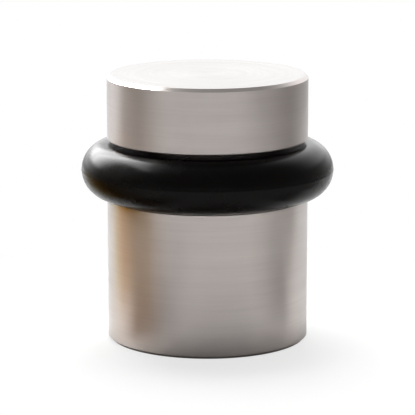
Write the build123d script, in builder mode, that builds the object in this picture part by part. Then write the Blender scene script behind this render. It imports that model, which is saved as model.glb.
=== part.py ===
from build123d import *
import os
from math import radians, tan

# Floor door stop. A base turned from bar stands on the floor and ends in a narrower neck. A rubber buffer ring
# sits on the shoulder round that neck, and a turned cap closes over it, held down by a stud.
# Millimetres, +Z up, with the origin on the floor at the centre of the base.

# Body: the base and the cap share one diameter
body_diameter = 38.0
base_height = 27.3
cap_height = 12.28
groove_depth = 4.6

# Buffer ring
ring_height = 10.2
ring_projection = 4.9
ring_headroom = 0.72
ring_bore_clearance = 0.1
ring_bore_chamfer = 0.6

# Foot: only an outer rim touches the floor
rim_width = 5.0
relief_depth = 0.8

# Register that centres the cap on the neck
register_depth = 1.5
register_clearance = 0.1

# Solid metal left in the cap above its blind hole
cap_crown = 2.0

# Metric coarse thread, the same for the floor stud and the joining stud
thread_diameter = 8.0
thread_pitch = 1.25
thread_fit = 0.05
floor_thread_depth = 19.0
thread_mouth_angle = 90.0
drill_point_angle = 118.0

# Joining stud: a headless screw with a hexagon socket in its upper end
stud_length = 20.0
stud_end_room = 0.5
socket_flats = 4.0
socket_depth = 4.5

# Edges as they leave the lathe
foot_chamfer = 0.5
shoulder_chamfer = 0.25
neck_lead_chamfer = 0.5
cap_top_chamfer = 0.6
cap_lower_chamfer = 0.25

# Radii
body_radius = body_diameter / 2
neck_radius = body_radius - groove_depth
relief_radius = body_radius - rim_width
register_radius = neck_radius + register_clearance
ring_bore_radius = neck_radius + ring_bore_clearance
ring_nose_radius = ring_height / 2
ring_outer_radius = body_radius + ring_projection
ring_nose_centre = ring_outer_radius - ring_nose_radius
thread_radius = thread_diameter / 2
core_radius = (thread_diameter - thread_pitch) / 2
mouth_radius = thread_radius + thread_pitch / 2
stud_radius = thread_radius - thread_fit

# Levels, from the floor up
ring_top_z = base_height + ring_height
cap_underside_z = ring_top_z + ring_headroom
seat_z = cap_underside_z + register_depth
top_z = cap_underside_z + cap_height
drill_point_height = core_radius / tan(radians(drill_point_angle / 2))
cap_hole_top_z = top_z - cap_crown - drill_point_height
stud_top_z = cap_hole_top_z - stud_end_room
stud_bottom_z = stud_top_z - stud_length
stud_hole_bottom_z = stud_bottom_z - stud_end_room

# Half turn that makes a hole run upwards from its mouth
upwards = (180, 0, 0)

# Base: drum, shoulder and neck in one turned piece, drilled through and tapped from both ends
with BuildPart() as base_body:
    with BuildSketch(Plane.XZ):
        with BuildLine():
            Polyline(
                (0, relief_depth),
                (relief_radius, relief_depth),
                (relief_radius, 0),
                (body_radius, 0),
                (body_radius, base_height),
                (neck_radius, base_height),
                (neck_radius, seat_z),
                (0, seat_z),
                close=True,
            )
        make_face()
    revolve(axis=Axis.Z)
    rings = base_body.edges().filter_by(GeomType.CIRCLE)
    foot_edge = rings.filter_by_position(Axis.Z, 0, 0).sort_by(SortBy.RADIUS)[-1]
    shoulder_edge = rings.filter_by_position(Axis.Z, base_height, base_height).sort_by(SortBy.RADIUS)[-1]
    neck_top_edge = rings.sort_by(Axis.Z)[-1]
    chamfer(foot_edge, length=foot_chamfer)
    chamfer(shoulder_edge, length=shoulder_chamfer)
    chamfer(neck_top_edge, length=neck_lead_chamfer)
    Hole(core_radius)
    with Locations((0, 0, seat_z)):
        CounterSinkHole(thread_radius, mouth_radius, seat_z - stud_hole_bottom_z, thread_mouth_angle)
    with Locations(Location((0, 0, relief_depth), upwards)):
        CounterSinkHole(thread_radius, mouth_radius, floor_thread_depth, thread_mouth_angle)

# Buffer ring: a flat bore and flat faces that sit in the groove, and a half-round nose that meets the door
with BuildPart() as buffer_ring:
    with BuildSketch(Plane.XZ) as ring_section:
        with BuildLine():
            lower_face = Line((ring_bore_radius, base_height), (ring_nose_centre, base_height))
            nose = ThreePointArc(
                lower_face @ 1,
                (ring_outer_radius, base_height + ring_nose_radius),
                (ring_nose_centre, ring_top_z),
            )
            upper_face = Line(nose @ 1, (ring_bore_radius, ring_top_z))
            Line(upper_face @ 1, lower_face @ 0)
        make_face()
        chamfer(ring_section.vertices().group_by(Axis.X)[0], length=ring_bore_chamfer)
    revolve(axis=Axis.Z)

# Cap: a plain disc with broken edges, bored underneath to fit over the neck and take the stud
with BuildPart() as top_cap:
    with BuildSketch(Plane.XY.offset(cap_underside_z)):
        Circle(body_radius)
    extrude(amount=cap_height)
    chamfer(top_cap.edges().sort_by(Axis.Z)[-1], length=cap_top_chamfer)
    chamfer(top_cap.edges().sort_by(Axis.Z)[0], length=cap_lower_chamfer)
    with Locations(Location((0, 0, cap_underside_z), upwards)):
        Hole(register_radius, depth=register_depth)
    with Locations(Location((0, 0, seat_z), upwards)):
        CounterSinkHole(thread_radius, mouth_radius, cap_hole_top_z - seat_z, thread_mouth_angle)
    with Locations((0, 0, cap_hole_top_z)):
        Cone(
            core_radius,
            0,
            drill_point_height,
            align=(Align.CENTER, Align.CENTER, Align.MIN),
            mode=Mode.SUBTRACT,
        )

# Joining stud: stands in the neck and reaches up into the cap, with both ends chamfered to the thread's core
with BuildPart() as joining_stud:
    with BuildSketch(Plane.XY.offset(stud_bottom_z)):
        Circle(stud_radius)
    extrude(amount=stud_length)
    chamfer(joining_stud.edges().filter_by(GeomType.CIRCLE), length=stud_radius - core_radius)
    with BuildSketch(Plane.XY.offset(stud_top_z)):
        RegularPolygon(socket_flats / 2, side_count=6, major_radius=False)
    extrude(amount=-socket_depth, mode=Mode.SUBTRACT)

os.makedirs("parts", exist_ok=True)

base_body.part.label = "base_body"
export_step(base_body.part, "parts/base_body.step")
buffer_ring.part.label = "buffer_ring"
export_step(buffer_ring.part, "parts/buffer_ring.step")
top_cap.part.label = "top_cap"
export_step(top_cap.part, "parts/top_cap.step")
joining_stud.part.label = "joining_stud"
export_step(joining_stud.part, "parts/joining_stud.step")
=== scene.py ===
"""Floor door stop: a satin stainless base and cap with a black rubber buffer ring between them."""
from math import asin, cos, pi, radians, sin

import bmesh
import bpy
from bpy.props import FloatProperty, FloatVectorProperty, IntProperty, PointerProperty
from bpy.types import NodeSocket, Operator, Panel, PropertyGroup
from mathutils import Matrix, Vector


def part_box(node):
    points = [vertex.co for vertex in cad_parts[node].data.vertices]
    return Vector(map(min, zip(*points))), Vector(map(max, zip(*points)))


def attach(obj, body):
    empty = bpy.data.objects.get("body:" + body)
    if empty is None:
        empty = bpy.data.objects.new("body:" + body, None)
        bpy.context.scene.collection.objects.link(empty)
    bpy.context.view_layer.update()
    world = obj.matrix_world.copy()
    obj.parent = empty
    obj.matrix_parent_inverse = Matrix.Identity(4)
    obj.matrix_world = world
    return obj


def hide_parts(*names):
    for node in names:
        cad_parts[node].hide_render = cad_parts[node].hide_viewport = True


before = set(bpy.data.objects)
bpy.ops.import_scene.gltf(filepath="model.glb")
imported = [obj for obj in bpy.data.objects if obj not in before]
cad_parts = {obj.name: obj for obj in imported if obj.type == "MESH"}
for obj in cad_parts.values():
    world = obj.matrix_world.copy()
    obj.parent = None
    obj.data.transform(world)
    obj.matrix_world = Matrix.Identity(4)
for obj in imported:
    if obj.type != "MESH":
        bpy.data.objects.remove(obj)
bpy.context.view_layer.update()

bl_info = {
    "name": "Floor door stop",
    "version": (1, 0, 0),
    "blender": (4, 5, 0),
    "location": "3D View > Sidebar > Door stop",
    "description": "Builds a turned stainless floor door stop with a moulded rubber buffer ring",
    "category": "Object",
}

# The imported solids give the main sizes, in metres
BASE_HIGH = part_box("base_body")[1]
RING_LOW, RING_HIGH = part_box("buffer_ring")
CAP_LOW, CAP_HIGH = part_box("top_cap")
STUD_LOW, STUD_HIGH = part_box("joining_stud")

MM = 0.001

# Fineness of the meshes, and the angle from which an edge is sharp
SHARP_EDGE = radians(25)
THREAD_STEPS = 12
NOSE_STEPS = 96

# Height of a metric thread's form, as a share of its pitch
THREAD_FORM = 0.6134

# A face of the cap whose normal rises further than this is its top
UPWARD = 0.99

# Octaves of the noise patterns, and the span that holds nearly all of one pattern
FINE_DETAIL = 3.0
BROAD_DETAIL = 2.0
NOISE_LOW, NOISE_HIGH = 0.3, 0.7

WHITE = (1, 1, 1, 1)

# Width of the camera's sensor, in millimetres
SENSOR_WIDTH = 36.0

# How gently a glowing studio card, painted light for the reflections, fades in from its ends
CARD_FADE = 3.0


def to_linear(code):
    """Turns an sRGB hex colour into linear red, green and blue."""
    channels = [int(code[i:i + 2], 16) / 255 for i in (1, 3, 5)]
    return [c / 12.92 if c <= 0.04045 else ((c + 0.055) / 1.055) ** 2.4 for c in channels]


def size(name, description, default):
    """A length property in metres."""
    return FloatProperty(name=name, description=description, default=default, min=0, precision=5,
                         unit="LENGTH")


def share(name, description, default):
    """A number from 0 to 1."""
    return FloatProperty(name=name, description=description, default=default, min=0, max=1, subtype="FACTOR")


def amount(name, description, default, unit="NONE"):
    """A number of zero or more, in that kind of unit."""
    return FloatProperty(name=name, description=description, default=default, min=0, unit=unit)


def colour(name, description, code):
    """A colour property from an sRGB hex value."""
    return FloatVectorProperty(name=name, description=description, default=to_linear(code), size=3,
                               min=0, max=1, subtype="COLOR")


class DoorStopSteel(PropertyGroup):
    """Sizes of the turned base and cap."""
    body_radius: size("Body radius", "Outside of the base and the cap", BASE_HIGH.x)
    groove_depth: size("Groove depth", "From the outside of the body to the neck", 4.6 * MM)
    shoulder_z: size("Shoulder", "Height of the face that the ring sits on", RING_LOW.z)
    seat_z: size("Seat", "Height of the neck's top, where the cap seats", BASE_HIGH.z)
    rim_width: size("Rim width", "Width of the part of the foot that touches the floor", 5.0 * MM)
    relief_depth: size("Relief depth", "How far the middle of the foot is cut back", 0.8 * MM)
    cap_underside_z: size("Cap underside", "Height of the cap's lower face", CAP_LOW.z)
    cap_top_z: size("Cap top", "Height of the cap's upper face", CAP_HIGH.z)
    register_clearance: size("Register clearance", "Room round the neck in the cap's recess", 0.1 * MM)
    cap_crown: size("Cap crown", "Solid metal above the cap's blind hole", 2.0 * MM)
    foot_chamfer: size("Foot chamfer", "Broken edge at the floor", 0.5 * MM)
    neck_chamfer: size("Neck chamfer", "Lead-in at the top of the neck", 0.5 * MM)
    edge_chamfer: size("Edge chamfer", "Broken edges at the shoulder and under the cap", 0.25 * MM)
    cap_chamfer: size("Cap chamfer", "Broken edge round the cap's top", 0.6 * MM)
    segments: IntProperty(name="Segments", description="Steps round the axis of every piece",
                          default=144, min=24)


class DoorStopThread(PropertyGroup):
    """The metric thread in both holes and on the stud."""
    radius: size("Thread radius", "Nominal radius of the thread", 4.0 * MM)
    pitch: size("Pitch", "Rise of the thread in one turn", 1.25 * MM)
    floor_depth: size("Floor thread depth", "Depth of the hole that takes the floor stud", 19.0 * MM)
    end_room: size("End room", "Room past each end of the stud", 0.5 * MM)
    socket_flats: size("Socket flats", "Size of the stud's hexagon socket", 4.0 * MM)
    socket_depth: size("Socket depth", "Depth of the stud's hexagon socket", 4.5 * MM)


class DoorStopRing(PropertyGroup):
    """Sizes of the moulded buffer ring."""
    outer_radius: size("Outer radius", "Outside of the ring's nose", -RING_LOW.x)
    lower_z: size("Lower face", "Height of the ring's lower face", RING_LOW.z)
    upper_z: size("Upper face", "Height of the ring's upper face", RING_HIGH.z)
    bore_clearance: size("Bore clearance", "Room between the bore and the neck", 0.1 * MM)
    bore_chamfer: size("Bore chamfer", "Lead-in at both ends of the bore", 0.6 * MM)
    flash_width: size("Parting line width", "Width of the line where the mould's halves meet", 0.7 * MM)
    flash_height: size("Parting line height", "How far that line stands out", 0.04 * MM)


class DoorStopFinish(PropertyGroup):
    """Colours and surface of the steel and the rubber."""
    steel_light: colour("Steel, light", "Steel on the crest of a brush line", "#BBB4B0")
    steel_dark: colour("Steel, dark", "Steel in the bottom of a brush line", "#B5ADAA")
    side_edge: colour("Side edge", "Tint of the brushed sides where they are seen at a low angle", "#D6D8D9")
    top_edge: colour("Top edge", "Tint of the faced top where it is seen at a low angle", "#CED1D2")
    side_roughness: share("Side roughness", "Mean roughness of the brushed sides", 0.32)
    side_drag: share("Side drag", "How far the brushed sides draw reflections out along the axis", 0.75)
    top_roughness: share("Top roughness", "Mean roughness of the faced top", 0.2)
    top_drag: share("Top drag", "How far the faced top draws reflections out from its centre", 0.25)
    brush_spacing: size("Brush spacing", "Distance between the brush lines that show", 0.25 * MM)
    brush_length: size("Brush length", "Length of one brush line", 12.0 * MM)
    rubber_light: colour("Rubber, light", "Rubber where the mould left it duller", "#0A0807")
    rubber_dark: colour("Rubber, dark", "Rubber elsewhere", "#050404")
    rubber_roughness: share("Rubber roughness", "Mean roughness of the moulded rubber", 0.25)
    rubber_grain: size("Rubber grain", "Size of the grain left by the mould", 0.25 * MM)
    rubber_bloom: size("Rubber bloom", "Size of the duller patches", 6.0 * MM)
    stud_steel: colour("Stud steel", "Colour of the joining stud", "#A5A29E")
    stud_roughness: share("Stud roughness", "Mean roughness of the rolled stud", 0.35)
    stud_patch: size("Stud patch", "Size of the uneven patches on the stud", 1.0 * MM)


class DoorStopStage(PropertyGroup):
    """Camera, floor and studio light."""
    view_distance: size("View distance", "From the camera to the point it looks at", 486.6 * MM)
    view_elevation: FloatProperty(name="View elevation", description="Camera's height above the horizon",
                                  default=radians(11.67), subtype="ANGLE", unit="ROTATION")
    aim_z: size("Aim height", "Height of the point on the axis that the camera looks at", 24.77 * MM)
    lens: amount("Lens", "Focal length on a 36 mm sensor", 222.0, "CAMERA")
    floor: colour("Floor", "Pale floor", "#EDEDEC")
    shadow_fill: share("Shadow fill", "How far the shadow on the floor is paled", 0.72)
    # These eight are the glow colours of studio cards that light themselves, with no lamp, and that only
    # reflections show. They paint the warm, brown, grey and dark bands into the steel's reflections.
    tan_glow_end: colour("Tan end", "Front end of the warm card, which gives the base its warm band", "#D8C8B6")
    warm_glow_dark: colour("Warm card, dark", "Darkest part of the warm card", "#886200")
    warm_glow_light: colour("Warm card, light", "Lighter part of the warm card", "#C98D1C")
    pale_glow_end: colour("Pale end", "Back end of the warm card", "#FFF0C3")
    warm_foot: colour("Warm foot", "Foot of the warm card", "#7C552D")
    brown_card: colour("Brown card", "Card for the cap's brown band, and front of the warm foot", "#72665C")
    grey_card: colour("Grey card", "Card at the right that gives the base its dark band", "#B6B4B1")
    dark_card: colour("Dark card", "Card for the cap's dark band, and foot of the grey card", "#A8A6A4")
    softbox_power: amount("Softbox power", "Power of the softbox at the side", 33.0, "POWER")
    rear_power: amount("Rear power", "Power of the narrow softbox further back", 5.7, "POWER")
    overhead_power: amount("Overhead power", "Power of the overhead softbox", 11.8, "POWER")
    room_front: amount("Room in front", "Brightness of the room in front, as it lights the floor", 0.08)
    room_mirrored: amount("Room mirrored", "Brightness of the room in front, as reflections show it", 0.35)
    room_back: amount("Room behind", "Brightness of the wall behind", 2.2)
    ceiling: amount("Ceiling", "Brightness of the ceiling", 0.45)


def add_node(tree, kind, inputs=None, **settings):
    """Adds a node, sets its properties, and fills its inputs with values or with other nodes' outputs.

    An input is given by its name, or by its place in the node.
    """
    node = tree.nodes.new(kind)
    for name, value in settings.items():
        setattr(node, name, value)
    for socket, value in (inputs or {}).items():
        if isinstance(value, NodeSocket):
            tree.links.new(value, node.inputs[socket])
        else:
            node.inputs[socket].default_value = value
    return node


def new_material(name):
    """An empty node material and its output node."""
    material = bpy.data.materials.new(name)
    material.use_nodes = True
    material.node_tree.nodes.clear()
    return material, material.node_tree, material.node_tree.nodes.new("ShaderNodeOutputMaterial")


def rgba(values):
    """A colour property with full opacity."""
    return (*values, 1.0)


def satin_stainless(name, finish, body_radius, roughness, drag, edge):
    """Stainless steel with fine lines round the axis, on the sides and in rings on the flat faces.

    The lines smear reflections across themselves, which draws them out along the axis on the sides.
    """
    if name in bpy.data.materials:
        return bpy.data.materials[name]
    material, tree, output = new_material(name)
    place = add_node(tree, "ShaderNodeTexCoord").outputs["Object"]
    flat = add_node(tree, "ShaderNodeVectorMath", {0: place, 1: (1, 1, 0)}, operation="MULTIPLY").outputs[0]
    radius = add_node(tree, "ShaderNodeVectorMath", {0: flat}, operation="LENGTH").outputs["Value"]
    outward = add_node(tree, "ShaderNodeVectorMath", {0: flat}, operation="NORMALIZE").outputs[0]
    height = add_node(tree, "ShaderNodeSeparateXYZ", {"Vector": place}).outputs["Z"]
    # Distance along the turned profile: height on the sides, and radius on the flat faces
    along = add_node(tree, "ShaderNodeMath", {0: height, 1: radius}, operation="SUBTRACT").outputs[0]

    def lines(spacing, length, detail):
        """Noise stretched into lines round the axis, of that spacing and length."""
        turn = add_node(tree, "ShaderNodeVectorMath", {0: outward, "Scale": body_radius / length},
                        operation="SCALE").outputs[0]
        step = add_node(tree, "ShaderNodeMath", {0: along, 1: 1 / spacing}, operation="MULTIPLY").outputs[0]
        lift = add_node(tree, "ShaderNodeCombineXYZ", {"Z": step}).outputs[0]
        where = add_node(tree, "ShaderNodeVectorMath", {0: turn, 1: lift}, operation="ADD").outputs[0]
        noise = add_node(tree, "ShaderNodeTexNoise", {"Vector": where, "Scale": 1.0, "Detail": detail})
        return noise.outputs[0]

    # Real brush lines are about 0.05 mm apart, too fine to show, so they are drawn several times as coarse
    fine = lines(finish.brush_spacing, finish.brush_length, FINE_DETAIL)
    # Broad lines lie among them, this many times as far apart and as long
    wider, longer = 8, 3
    broad = lines(finish.brush_spacing * wider, finish.brush_length * longer, BROAD_DETAIL)
    tone = add_node(tree, "ShaderNodeMath", {0: fine, 1: broad}, operation="ADD").outputs[0]
    # Span that holds nearly all of the two patterns' sum
    tone_low, tone_high = 0.7, 1.3
    depth = add_node(tree, "ShaderNodeMapRange", {
        "Value": tone, "From Min": tone_low, "From Max": tone_high}).outputs[0]
    tint = add_node(tree, "ShaderNodeMix", {
        0: depth, 6: rgba(finish.steel_dark), 7: rgba(finish.steel_light)}, data_type="RGBA").outputs[2]
    spread = 0.02
    rough = add_node(tree, "ShaderNodeMapRange", {
        "Value": depth, "To Min": roughness + spread, "To Max": roughness - spread}).outputs[0]
    line_depth, line_strength = 0.02 * MM, 0.05
    bump = add_node(tree, "ShaderNodeBump", {
        "Strength": line_strength, "Distance": line_depth, "Height": fine}).outputs[0]
    tangent = add_node(tree, "ShaderNodeTangent", direction_type="RADIAL", axis="Z").outputs[0]
    quarter_turn = 0.25
    shader = add_node(tree, "ShaderNodeBsdfPrincipled", {
        "Base Color": tint, "Metallic": 1.0, "Roughness": rough, "Specular Tint": rgba(edge),
        "Anisotropic": drag, "Anisotropic Rotation": quarter_turn, "Tangent": tangent, "Normal": bump})
    tree.links.new(shader.outputs[0], output.inputs[0])
    return material


def brushed_stainless(finish, body_radius):
    """Stainless steel, turned and then brushed hard round the axis.

    To the eye it has upright bands of light and dark, crossed by faint lines.
    """
    return satin_stainless("satin_stainless_brushed", finish, body_radius,
                           finish.side_roughness, finish.side_drag, finish.side_edge)


def faced_stainless(finish, body_radius):
    """Stainless steel, faced on the lathe and lightly brushed.

    To the eye it is an even, pale sheen with faint rings.
    """
    return satin_stainless("satin_stainless_faced", finish, body_radius,
                           finish.top_roughness, finish.top_drag, finish.top_edge)


def moulded_rubber(finish):
    """Black rubber, moulded in a polished steel mould.

    To the eye it is close to black, with a soft gloss that turns pale at a low angle, and a fine grain.
    """
    material, tree, output = new_material("black_rubber_moulded")
    place = add_node(tree, "ShaderNodeTexCoord").outputs["Object"]
    grain = add_node(tree, "ShaderNodeTexNoise", {
        "Vector": place, "Scale": 1 / finish.rubber_grain, "Detail": FINE_DETAIL}).outputs[0]
    bloom = add_node(tree, "ShaderNodeTexNoise", {
        "Vector": place, "Scale": 1 / finish.rubber_bloom, "Detail": FINE_DETAIL}).outputs[0]
    tint = add_node(tree, "ShaderNodeMix", {
        0: bloom, 6: rgba(finish.rubber_dark), 7: rgba(finish.rubber_light)}, data_type="RGBA").outputs[2]
    spread = 0.05
    rough = add_node(tree, "ShaderNodeMapRange", {
        "Value": bloom, "From Min": NOISE_LOW, "From Max": NOISE_HIGH,
        "To Min": finish.rubber_roughness - spread, "To Max": finish.rubber_roughness + spread}).outputs[0]
    grain_depth, grain_strength = 0.02 * MM, 0.2
    bump = add_node(tree, "ShaderNodeBump", {
        "Strength": grain_strength, "Distance": grain_depth, "Height": grain}).outputs[0]
    # The usual IOR of rubber, with its mirror-like part turned down to match the ring's low gloss
    rubber_ior, gloss = 1.52, 0.074
    shader = add_node(tree, "ShaderNodeBsdfPrincipled", {
        "Base Color": tint, "Roughness": rough, "IOR": rubber_ior, "Specular IOR Level": gloss,
        "Normal": bump})
    tree.links.new(shader.outputs[0], output.inputs[0])
    return material


def rolled_stainless(finish):
    """Stainless steel as a screw leaves the thread rollers.

    To the eye it is plain metal, a little dull and slightly uneven.
    """
    material, tree, output = new_material("screw_stainless_rolled")
    place = add_node(tree, "ShaderNodeTexCoord").outputs["Object"]
    uneven = add_node(tree, "ShaderNodeTexNoise", {
        "Vector": place, "Scale": 1 / finish.stud_patch, "Detail": FINE_DETAIL}).outputs[0]
    spread = 0.07
    rough = add_node(tree, "ShaderNodeMapRange", {
        "Value": uneven, "From Min": NOISE_LOW, "From Max": NOISE_HIGH,
        "To Min": finish.stud_roughness - spread, "To Max": finish.stud_roughness + spread}).outputs[0]
    shader = add_node(tree, "ShaderNodeBsdfPrincipled", {
        "Base Color": rgba(finish.stud_steel), "Metallic": 1.0, "Roughness": rough})
    tree.links.new(shader.outputs[0], output.inputs[0])
    return material


def turned(name, rows, segments, closed, material):
    """A mesh swept round the axis.

    A row is (radius, height), and the radius may be a function of the angle. A row of radius 0 is one point
    on the axis. A closed profile joins its last row to its first.
    """
    built = bmesh.new()
    rings = []
    for radius, z in rows:
        if radius == 0:
            rings.append([built.verts.new((0, 0, z))] * segments)
            continue
        ring = []
        for i in range(segments):
            angle = 2 * pi * i / segments
            r = radius(angle) if callable(radius) else radius
            ring.append(built.verts.new((r * cos(angle), r * sin(angle), z)))
        rings.append(ring)
    pairs = list(zip(rings, rings[1:]))
    if closed:
        pairs.append((rings[-1], rings[0]))
    for low, high in pairs:
        for i in range(segments):
            j = (i + 1) % segments
            corners = [low[i], low[j], high[j], high[i]]
            built.faces.new(list(dict.fromkeys(corners)))
    bmesh.ops.recalc_face_normals(built, faces=built.faces)
    mesh = bpy.data.meshes.new(name)
    built.to_mesh(mesh)
    built.free()
    mesh.shade_smooth()
    mesh.set_sharp_from_angle(angle=SHARP_EDGE)
    mesh.materials.append(material)
    piece = bpy.data.objects.new(name, mesh)
    bpy.context.scene.collection.objects.link(piece)
    return piece


def threaded(low, high, thread, fade):
    """Rows of a thread from one height to another.

    Where fade is set, the thread dies out over one pitch at each end.
    """
    steps = round(THREAD_STEPS * (high - low) / thread.pitch)
    rows = []
    for k in range(steps + 1):
        z = low + (high - low) * k / steps
        depth = THREAD_FORM * thread.pitch
        if fade:
            depth *= min(1, (z - low) / thread.pitch, (high - z) / thread.pitch)

        def radius(angle, z=z, depth=depth):
            """Radius of the thread at that angle, from a triangle wave between 0 and 1."""
            phase = z / thread.pitch - angle / (2 * pi)
            wave = asin(sin(2 * pi * phase)) / pi + 0.5
            return thread.radius - depth * wave

        rows.append((radius, z))
    return rows


def finish_piece(piece, node):
    """Seats a piece in place of its solid, on the one body."""
    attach(piece, "root")
    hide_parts(node)


class DOORSTOP_OT_base(Operator):
    """Builds the turned base: foot, drum, shoulder and neck, tapped from both ends"""
    bl_idname = "doorstop.base"
    bl_label = "Turned base"

    def execute(self, context):
        scene = context.scene
        steel, thread = scene.doorstop_steel, scene.doorstop_thread
        neck = steel.body_radius - steel.groove_depth
        relief = steel.body_radius - steel.rim_width
        core = thread.radius - thread.pitch / 2
        mouth = thread.radius + thread.pitch / 2
        floor_top = steel.relief_depth + thread.floor_depth
        stud_bottom = STUD_LOW.z - thread.end_room
        rows = [
            (relief, steel.relief_depth),
            (relief, 0),
            (steel.body_radius - steel.foot_chamfer, 0),
            (steel.body_radius, steel.foot_chamfer),
            (steel.body_radius, steel.shoulder_z - steel.edge_chamfer),
            (steel.body_radius - steel.edge_chamfer, steel.shoulder_z),
            (neck, steel.shoulder_z),
            (neck, steel.seat_z - steel.neck_chamfer),
            (neck - steel.neck_chamfer, steel.seat_z),
            (mouth, steel.seat_z),
        ]
        rows += reversed(threaded(stud_bottom, steel.seat_z - thread.pitch / 2, thread, True))
        rows += [(core, stud_bottom), (core, floor_top)]
        rows += reversed(threaded(steel.relief_depth + thread.pitch / 2, floor_top, thread, True))
        rows.append((mouth, steel.relief_depth))
        material = brushed_stainless(scene.doorstop_finish, steel.body_radius)
        piece = turned("turned_base", rows, steel.segments, True, material)
        finish_piece(piece, "base_body")
        return {"FINISHED"}


class DOORSTOP_OT_ring(Operator):
    """Builds the moulded buffer ring, with its half-round nose and parting line"""
    bl_idname = "doorstop.ring"
    bl_label = "Buffer ring"

    def execute(self, context):
        scene = context.scene
        steel, ring = scene.doorstop_steel, scene.doorstop_ring
        bore = steel.body_radius - steel.groove_depth + ring.bore_clearance
        nose = (ring.upper_z - ring.lower_z) / 2
        centre_r, centre_z = ring.outer_radius - nose, ring.lower_z + nose
        rows = [
            (bore, ring.upper_z - ring.bore_chamfer),
            (bore, ring.lower_z + ring.bore_chamfer),
            (bore + ring.bore_chamfer, ring.lower_z),
        ]
        for k in range(NOSE_STEPS + 1):
            angle = pi * (k / NOSE_STEPS - 0.5)
            # The parting line rides on the widest point of the nose
            across = 2 * abs(nose * angle) / ring.flash_width
            proud = ring.flash_height * max(0, 1 - across) - ring.flash_height
            rows.append((centre_r + (nose + proud) * cos(angle), centre_z + nose * sin(angle)))
        rows.append((bore + ring.bore_chamfer, ring.upper_z))
        material = moulded_rubber(scene.doorstop_finish)
        piece = turned("buffer_ring_moulded", rows, steel.segments, True, material)
        finish_piece(piece, "buffer_ring")
        return {"FINISHED"}


class DOORSTOP_OT_cap(Operator):
    """Builds the turned cap with its recess and blind tapped hole"""
    bl_idname = "doorstop.cap"
    bl_label = "Top cap"

    def execute(self, context):
        scene = context.scene
        steel, thread = scene.doorstop_steel, scene.doorstop_thread
        register = steel.body_radius - steel.groove_depth + steel.register_clearance
        core = thread.radius - thread.pitch / 2
        mouth = thread.radius + thread.pitch / 2
        hole_top = STUD_HIGH.z + thread.end_room
        rows = [(0, steel.cap_top_z - steel.cap_crown), (core, hole_top)]
        rows += reversed(threaded(steel.seat_z + thread.pitch / 2, hole_top, thread, True))
        rows += [
            (mouth, steel.seat_z),
            (register, steel.seat_z),
            (register, steel.cap_underside_z),
            (steel.body_radius - steel.edge_chamfer, steel.cap_underside_z),
            (steel.body_radius, steel.cap_underside_z + steel.edge_chamfer),
            (steel.body_radius, steel.cap_top_z - steel.cap_chamfer),
            (steel.body_radius - steel.cap_chamfer, steel.cap_top_z),
            (0, steel.cap_top_z),
        ]
        material = brushed_stainless(scene.doorstop_finish, steel.body_radius)
        piece = turned("turned_cap", rows, steel.segments, False, material)
        materials = piece.data.materials
        materials.append(faced_stainless(scene.doorstop_finish, steel.body_radius))
        for face in piece.data.polygons:
            if face.normal.z > UPWARD:
                face.material_index = len(materials) - 1
        finish_piece(piece, "top_cap")
        return {"FINISHED"}


class DOORSTOP_OT_stud(Operator):
    """Builds the threaded joining stud with its hexagon socket"""
    bl_idname = "doorstop.stud"
    bl_label = "Joining stud"

    def execute(self, context):
        scene = context.scene
        steel, thread = scene.doorstop_steel, scene.doorstop_thread
        low, high = STUD_LOW.z, STUD_HIGH.z
        fit = thread.radius - STUD_HIGH.x
        core = thread.radius - thread.pitch / 2
        end = STUD_HIGH.x - core
        socket_low = high - thread.socket_depth

        def hexagon(angle):
            """Distance from the axis to the socket's wall."""
            return thread.socket_flats / 2 / cos((angle + pi / 6) % (pi / 3) - pi / 6)

        rows = [(0, low), (core, low)]
        for radius, z in threaded(low + end, high - end, thread, False):
            rows.append((lambda angle, radius=radius: radius(angle) - fit, z))
        rows += [(core, high), (hexagon, high), (hexagon, socket_low), (0, socket_low)]
        material = rolled_stainless(scene.doorstop_finish)
        piece = turned("joining_stud_threaded", rows, steel.segments, False, material)
        finish_piece(piece, "joining_stud")
        return {"FINISHED"}


class DOORSTOP_OT_stage(Operator):
    """Sets the camera, the pale floor and the studio light"""
    bl_idname = "doorstop.stage"
    bl_label = "Studio stage"

    def execute(self, context):
        scene = context.scene
        stage = scene.doorstop_stage
        add_camera(scene, stage)
        add_floor(scene, stage)
        # Glowing cards at the left, seen only in reflections, which paint the warm bands into the steel
        warm = ((-33, stage.tan_glow_end), (-15, stage.warm_glow_dark), (-2, stage.warm_glow_light), (9, stage.pale_glow_end))
        warm_foot = ((-32, stage.brown_card), (-22, stage.warm_foot))
        add_card(scene, "warm_card", warm, foot=(-42, 0.5), head=(-42, 30),
                 ends=(-72, 38), full=(-31, 9), lean=0.3)
        add_card(scene, "warm_foot", warm_foot, foot=(-21, 0.5), head=(-42, 0.5),
                 ends=(-137, 10), full=(-32, -13))
        add_card(scene, "brown_card", ((0, stage.brown_card),), foot=(-44, 30), head=(-44, 75),
                 ends=(-74, 40), full=(-16, 0))
        # Glowing cards at the right, seen only in reflections, which paint the grey bands into the steel
        add_card(scene, "grey_card", ((0, stage.grey_card),), foot=(75, 0.5), head=(75, 22),
                 ends=(-130, 50), full=(0, 7), lean=0.8)
        add_card(scene, "grey_foot", ((0, stage.dark_card),), foot=(36, 0.5), head=(75, 0.5),
                 ends=(-100, 8), full=(-18, -6))
        add_card(scene, "dark_card", ((0, stage.dark_card),), foot=(77, 20), head=(77, 60),
                 ends=(-290, 400), full=(0, 18))
        # Two softboxes for the highlights, and one that lights the floor
        add_lamp(scene, "side_softbox", stage.softbox_power, width=0.95, height=0.85, turn=-122, rise=38,
                 mirrored=True)
        add_lamp(scene, "rear_softbox", stage.rear_power, width=0.3, height=0.85, turn=-157.5, rise=35,
                 mirrored=True)
        add_lamp(scene, "overhead_softbox", stage.overhead_power, width=0.6, height=0.6, turn=-165, rise=66,
                 mirrored=False)
        add_world(scene, stage)
        scene.view_settings.view_transform = "Standard"
        return {"FINISHED"}


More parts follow.
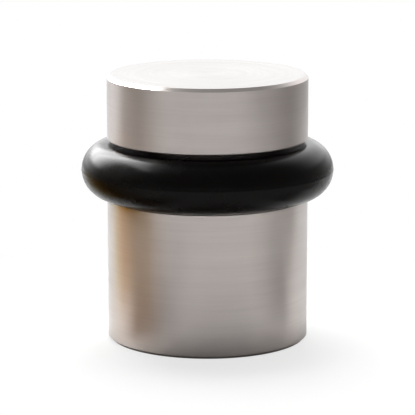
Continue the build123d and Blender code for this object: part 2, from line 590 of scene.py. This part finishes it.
def add_camera(scene, stage):
    """A long lens, a little above the top of the stop."""
    data = bpy.data.cameras.new("camera")
    data.sensor_width = SENSOR_WIDTH
    data.lens = stage.lens
    camera = bpy.data.objects.new("camera", data)
    back = Vector((0, -cos(stage.view_elevation), sin(stage.view_elevation)))
    camera.location = Vector((0, 0, stage.aim_z)) + back * stage.view_distance
    camera.rotation_euler = (-back).to_track_quat("-Z", "Y").to_euler()
    scene.collection.objects.link(camera)
    scene.camera = camera


def add_sheet(scene, name, corners, faces, material):
    """A flat sheet of the stage."""
    mesh = bpy.data.meshes.new(name)
    mesh.from_pydata(corners, [], faces)
    mesh.materials.append(material)
    sheet = bpy.data.objects.new(name, mesh)
    scene.collection.objects.link(sheet)
    return sheet


def ray_kinds(tree):
    """Tells the rays that come straight from the camera, and those that a surface has mirrored."""
    path = add_node(tree, "ShaderNodeLightPath").outputs
    mirrored = add_node(tree, "ShaderNodeMath", {0: path["Is Glossy Ray"], 1: path["Is Transmission Ray"]},
                        operation="MAXIMUM").outputs[0]
    return path["Is Camera Ray"], mirrored


def add_floor(scene, stage):
    """A wide pale floor. It takes the stop's shadow near by, and is plain white further off."""
    material, tree, output = new_material("pale_floor_matt")
    # Distances from the axis over which the shadow fades, and over which the mirrored floor turns white
    shadow_from, shadow_to = 20 * MM, 80 * MM
    mirror_from, mirror_to = 100 * MM, 400 * MM
    place = add_node(tree, "ShaderNodeTexCoord").outputs["Object"]
    reach = add_node(tree, "ShaderNodeVectorMath", {0: place}, operation="LENGTH").outputs["Value"]
    from_camera, mirrored = ray_kinds(tree)
    far = add_node(tree, "ShaderNodeMapRange", {
        "Value": reach, "From Min": mirror_from, "From Max": mirror_to},
        interpolation_type="SMOOTHSTEP").outputs[0]
    near = add_node(tree, "ShaderNodeMapRange", {
        "Value": reach, "From Min": shadow_from, "From Max": shadow_to, "To Min": stage.shadow_fill},
        interpolation_type="SMOOTHSTEP").outputs[0]
    seen = add_node(tree, "ShaderNodeMath", {0: near, 1: from_camera}, operation="MULTIPLY").outputs[0]
    fade = add_node(tree, "ShaderNodeMath", {0: far, 1: mirrored, 2: seen},
                    operation="MULTIPLY_ADD").outputs[0]
    matt = add_node(tree, "ShaderNodeBsdfDiffuse", {"Color": rgba(stage.floor)}).outputs[0]
    white = add_node(tree, "ShaderNodeEmission", {"Color": WHITE, "Strength": 1.0}).outputs[0]
    mix = add_node(tree, "ShaderNodeMixShader", {0: fade, 1: matt, 2: white}).outputs[0]
    tree.links.new(mix, output.inputs[0])
    # Half the floor's width, in metres
    half = 4.0
    corners = [(-half, -half, 0), (half, -half, 0), (half, half, 0), (-half, half, 0)]
    add_sheet(scene, "floor", corners, [(0, 1, 2, 3)], material)


def add_card(scene, name, tints, foot, head, ends, full, lean=0.0):
    """A studio card at one side of the stop that glows by itself, with no lamp, and which only reflections
    show. It puts a painted reflection, a soft band of its colour, on the steel.

    All its places are in millimetres. foot and head give x and z of its two long edges, and ends gives y
    where it begins and where it ends. It fades in towards the span that full gives, so that the bands on
    the steel have soft edges. tints lists its colours from front to back, each with its y. The card leans
    back by lean for each millimetre of height.
    """
    material, tree, output = new_material(name + "_board")
    place = add_node(tree, "ShaderNodeTexCoord").outputs["Object"]
    # Millimetres from front to back, with the lean taken out
    way = (0, 1 / MM, -lean / MM)
    along = add_node(tree, "ShaderNodeVectorMath", {0: place, 1: way},
                     operation="DOT_PRODUCT").outputs["Value"]
    front, back = ends
    rise = add_node(tree, "ShaderNodeMapRange", {
        "Value": along, "From Min": front, "From Max": full[0]}).outputs[0]
    fall = add_node(tree, "ShaderNodeMapRange", {
        "Value": along, "From Min": back, "From Max": full[1]}).outputs[0]
    span = add_node(tree, "ShaderNodeMath", {0: rise, 1: fall}, operation="MULTIPLY").outputs[0]
    cover = add_node(tree, "ShaderNodeMath", {0: span, 1: CARD_FADE}, operation="POWER").outputs[0]
    where = add_node(tree, "ShaderNodeMapRange", {
        "Value": along, "From Min": front, "From Max": back}).outputs[0]
    ramp = add_node(tree, "ShaderNodeValToRGB", {0: where})
    stops = ramp.color_ramp.elements
    for y, tint in tints:
        stops.new((y - front) / (back - front)).color = rgba(tint)
    # Drops the two stops that the ramp came with
    stops.remove(stops[0])
    stops.remove(stops[-1])
    # The card is clear outside its span and glows with the ramp's colour inside it: painted light, seen only
    # in reflections
    clear = add_node(tree, "ShaderNodeBsdfTransparent").outputs[0]
    level = add_node(tree, "ShaderNodeEmission", {"Color": ramp.outputs[0], "Strength": 1.0}).outputs[0]
    mix = add_node(tree, "ShaderNodeMixShader", {0: cover, 1: clear, 2: level}).outputs[0]
    tree.links.new(mix, output.inputs[0])
    corners = [(x * MM, (y + lean * z) * MM, z * MM) for x, z in (foot, head) for y in ends]
    card = add_sheet(scene, name, corners, [(0, 1, 3, 2)], material)
    card.visible_camera = card.visible_diffuse = card.visible_shadow = False


def add_lamp(scene, name, power, width, height, turn, rise, mirrored):
    """A softbox a metre away, at an angle round from the front and up from the floor, turned to the stop.

    Its width and height are in metres, and the two angles in degrees. A mirrored one is there for the
    reflections alone, and the other kind lights the floor.
    """
    data = bpy.data.lights.new(name, "AREA")
    data.shape = "RECTANGLE"
    data.size, data.size_y = width, height
    data.energy = power
    lamp = bpy.data.objects.new(name, data)
    turn, rise = radians(turn), radians(rise)
    lamp.location = (sin(turn) * cos(rise), -cos(turn) * cos(rise), sin(rise))
    lamp.rotation_euler = (-lamp.location).to_track_quat("-Z", "Y").to_euler()
    lamp.visible_camera = False
    lamp.visible_glossy = mirrored
    lamp.visible_diffuse = not mirrored
    scene.collection.objects.link(lamp)


def add_world(scene, stage):
    """A dim room with a white wall behind the stop. The camera sees white all round."""
    world = bpy.data.worlds.new("studio")
    world.use_nodes = True
    tree = world.node_tree
    tree.nodes.clear()
    # Shares of the way from the middle of the room to the wall, and from the floor to the ceiling
    wall_from, wall_to = 0.2, 0.85
    ceiling_from, ceiling_to = 0.6, 0.95
    way = add_node(tree, "ShaderNodeTexCoord").outputs["Generated"]
    axes = add_node(tree, "ShaderNodeSeparateXYZ", {"Vector": way}).outputs
    from_camera, mirrored = ray_kinds(tree)
    front = add_node(tree, "ShaderNodeMix", {
        0: mirrored, 2: stage.room_front, 3: stage.room_mirrored}).outputs[0]
    wall = add_node(tree, "ShaderNodeMapRange", {
        "Value": axes["Y"], "From Min": wall_from, "From Max": wall_to,
        "To Min": front, "To Max": stage.room_back}, interpolation_type="SMOOTHSTEP").outputs[0]
    ceiling = add_node(tree, "ShaderNodeMapRange", {
        "Value": axes["Z"], "From Min": ceiling_from, "From Max": ceiling_to,
        "To Max": stage.ceiling}, interpolation_type="SMOOTHSTEP").outputs[0]
    room = add_node(tree, "ShaderNodeMath", {0: wall, 1: ceiling}, operation="MAXIMUM").outputs[0]
    backdrop = 1.0
    level = add_node(tree, "ShaderNodeMix", {0: from_camera, 2: room, 3: backdrop}).outputs[0]
    light = add_node(tree, "ShaderNodeBackground", {"Color": WHITE, "Strength": level}).outputs[0]
    output = add_node(tree, "ShaderNodeOutputWorld")
    tree.links.new(light, output.inputs[0])
    scene.world = world


class DOORSTOP_PT_panel(Panel):
    """Lists the pieces of the door stop and their sizes"""
    bl_idname = "DOORSTOP_PT_panel"
    bl_label = "Floor door stop"
    bl_space_type = "VIEW_3D"
    bl_region_type = "UI"
    bl_category = "Door stop"

    def draw(self, context):
        for operator in OPERATORS:
            self.layout.operator(operator.bl_idname)
        for name, group in GROUPS.items():
            box = self.layout.box()
            for key in group.__annotations__:
                box.prop(getattr(context.scene, name), key)


GROUPS = {
    "doorstop_steel": DoorStopSteel,
    "doorstop_thread": DoorStopThread,
    "doorstop_ring": DoorStopRing,
    "doorstop_finish": DoorStopFinish,
    "doorstop_stage": DoorStopStage,
}
OPERATORS = (DOORSTOP_OT_base, DOORSTOP_OT_ring, DOORSTOP_OT_cap, DOORSTOP_OT_stud, DOORSTOP_OT_stage)


def register():
    """Registers the classes and gives the scene its groups of properties."""
    for cls in (*GROUPS.values(), *OPERATORS, DOORSTOP_PT_panel):
        bpy.utils.register_class(cls)
    for name, group in GROUPS.items():
        setattr(bpy.types.Scene, name, PointerProperty(type=group))


def unregister():
    """Takes the properties and the classes away again."""
    for name in GROUPS:
        delattr(bpy.types.Scene, name)
    for cls in reversed((*GROUPS.values(), *OPERATORS, DOORSTOP_PT_panel)):
        bpy.utils.unregister_class(cls)


def main():
    """Builds the pieces and the stage."""
    register()
    bpy.ops.doorstop.base()
    bpy.ops.doorstop.ring()
    bpy.ops.doorstop.cap()
    bpy.ops.doorstop.stud()
    bpy.ops.doorstop.stage()


if __name__ == "__main__":
    main()
